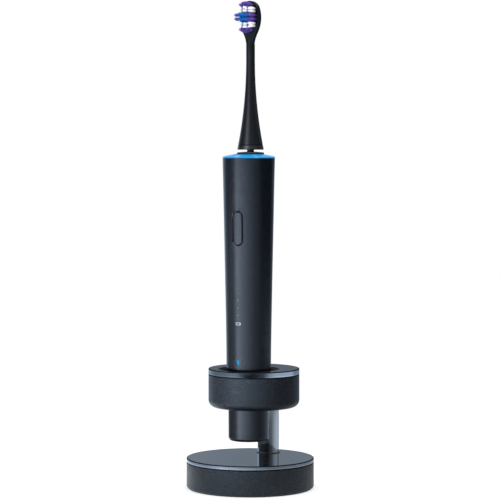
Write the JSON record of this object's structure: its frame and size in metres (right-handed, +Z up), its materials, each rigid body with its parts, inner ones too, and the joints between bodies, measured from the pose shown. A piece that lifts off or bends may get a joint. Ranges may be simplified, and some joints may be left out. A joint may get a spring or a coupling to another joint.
{
  "type": "electric toothbrush on charger",
  "caption": "Slim dark electric toothbrush with a lit ring and coloured bristles, standing through a round raised charging cradle on a post and weighted base.",
  "frame": {"origin": "on the table, under the centre of the round base", "axes": "+Z up along the brush, -Y to the front, where the button and the bristles face; +X to the right"},
  "size_m": [0.0716, 0.0716, 0.2727],
  "materials": {
    "handle_plastic": "dark navy satin plastic with a fine sparkle",
    "grain_plastic": "dark navy plastic with a fine leather grain",
    "gloss_top": "high-gloss black plastic",
    "dark_chrome": "dark polished metal",
    "black_rubber": "soft black rubber",
    "socket_plastic": "satin black plastic",
    "light_blue": "clear blue plastic lit from below",
    "status_light": "blue light window, lit",
    "charge_light": "white light window, lit",
    "mode_light": "grey light windows, unlit",
    "brush_plastic": "satin black plastic",
    "bristle_white": "white nylon bristles",
    "bristle_blue": "blue nylon bristles",
    "bristle_purple": "purple nylon bristles",
    "steel": "plain steel",
    "ballast_iron": "blackened iron",
    "bronze": "sintered bronze",
    "copper": "enamelled copper wire",
    "ferrite": "sintered ferrite",
    "magnet": "nickel-plated magnet",
    "circuit_green": "green circuit board",
    "component_black": "moulded black components",
    "lamp_clear": "small clear lamps",
    "cell_wrap": "wrapped steel battery cell",
    "frame_plastic": "grey moulded plastic"
  },
  "bodies": {
    "stand": {"foot_pad": "black_rubber", "base_cover": "socket_plastic", "base_screws": "steel", "base_wall": "grain_plastic", "base_top_plate": "gloss_top", "ballast_disc": "ballast_iron", "charger_board": "circuit_green", "board_screws": "steel", "board_components": "component_black", "inlet_socket": "component_black", "inlet_pin": "bronze", "post": "dark_chrome", "post_collar": "dark_chrome", "post_nuts": "steel", "coil_lead": "black_rubber", "cradle_shell": "grain_plastic", "cradle_screws": "steel", "cradle_top_ring": "gloss_top", "socket_liner": "socket_plastic", "coil_former": "frame_plastic", "primary_coil": "copper", "ferrite_ring": "ferrite"},
    "handle": {"handle_shell": "handle_plastic", "bottom_cap": "handle_plastic", "cap_seal": "black_rubber", "light_ring": "light_blue", "shaft_seal": "black_rubber", "status_lens": "status_light", "charge_lens": "charge_light", "mode_lenses": "mode_light", "chassis": "frame_plastic", "battery_cell": "cell_wrap", "circuit_board": "circuit_green", "board_lamps": "lamp_clear", "tactile_switch": "component_black", "pickup_core": "ferrite", "pickup_coil": "copper", "ring_board": "circuit_green", "ring_lamps": "lamp_clear", "motor_can": "steel", "motor_cap": "frame_plastic", "upper_bush": "bronze", "lower_bush": "bronze", "stator_core": "ferrite", "stator_windings": "copper"},
    "button": {"power_button": "handle_plastic", "switch_plunger": "component_black"},
    "drive": {"drive_shaft": "steel", "rotor_yoke": "steel", "rotor_magnets": "magnet"},
    "brush_head": {"stem_ring": "brush_plastic", "brush_stem": "brush_plastic", "stem_insert": "frame_plastic", "top_end_bristles": "bristle_purple", "upper_white_bristles": "bristle_white", "left_side_bristles": "bristle_purple", "middle_bristles": "bristle_blue", "right_side_bristles": "bristle_purple", "lower_white_bristles": "bristle_white", "bottom_end_bristles": "bristle_purple"}
  },
  "joints": [
    {"name": "brush_lift", "type": "slide", "parent": "stand", "child": "handle", "axis": [0, 0, 1], "range_m": [0, 0.06]},
    {"name": "button_press", "type": "slide", "parent": "handle", "child": "button", "axis": [0, 1, 0], "range_m": [0, 0.0005], "stiffness_N_per_m": 3000},
    {"name": "shaft_swing", "type": "hinge", "parent": "handle", "child": "drive", "pos_m": [0, 0.0004, 0.19], "axis": [0, 0, 1], "range_deg": [-5, 5], "stiffness_Nm_per_rad": 0.05},
    {"name": "head_pull", "type": "slide", "parent": "drive", "child": "brush_head", "axis": [0, 0, 1], "range_m": [0, 0.022]}
  ]
}
